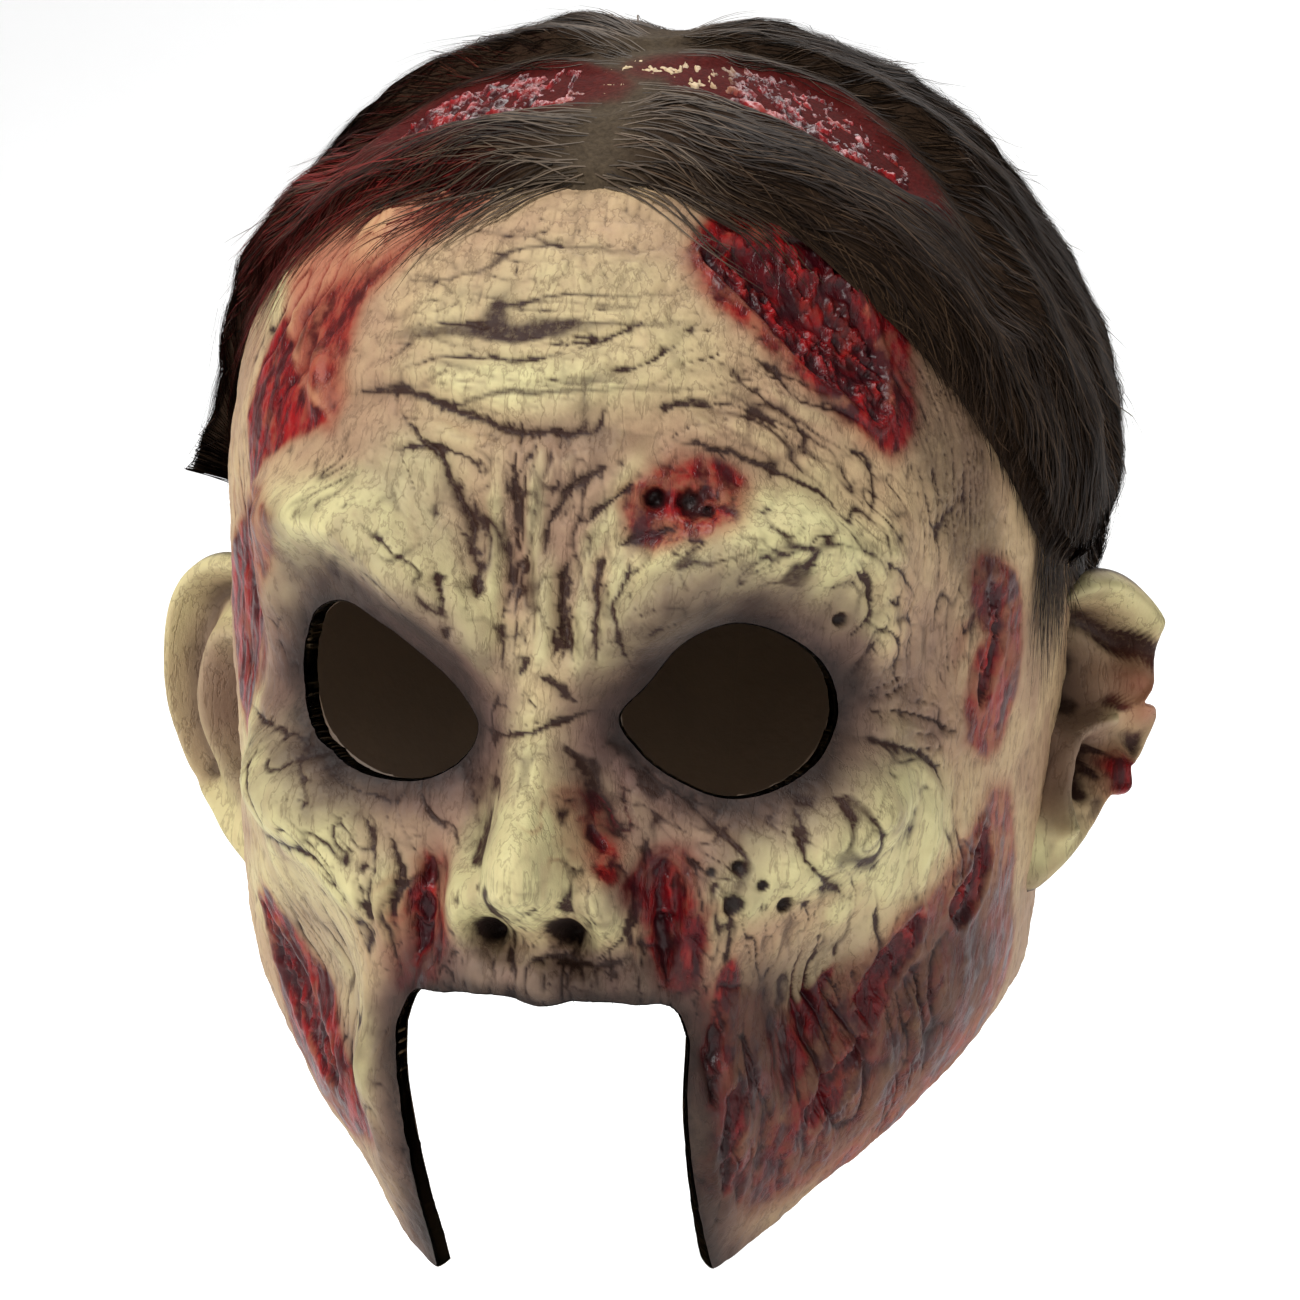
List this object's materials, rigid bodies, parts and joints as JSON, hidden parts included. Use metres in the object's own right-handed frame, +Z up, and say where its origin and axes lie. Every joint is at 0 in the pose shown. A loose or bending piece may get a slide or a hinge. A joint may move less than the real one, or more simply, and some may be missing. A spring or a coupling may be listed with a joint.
{
  "type": "zombie mask",
  "caption": "Latex over-the-head zombie mask with eye holes, an open mouth and chin, both ears, and combed hair glued to its scalp in two halves.",
  "frame": {"origin": "where the top of the wearer's head touches the inside of the crown, 2.2 mm under its outer surface", "axes": "+Z up, the face looks along -Y, +X is the wearer's left"},
  "size_m": [0.2026, 0.2261, 0.239],
  "materials": {
    "latex": "matt painted latex",
    "hair": "combed synthetic hair"
  },
  "bodies": {
    "root": {"mask_skin": "latex", "hair_right": "hair", "hair_left": "hair"}
  },
  "joints": []
}
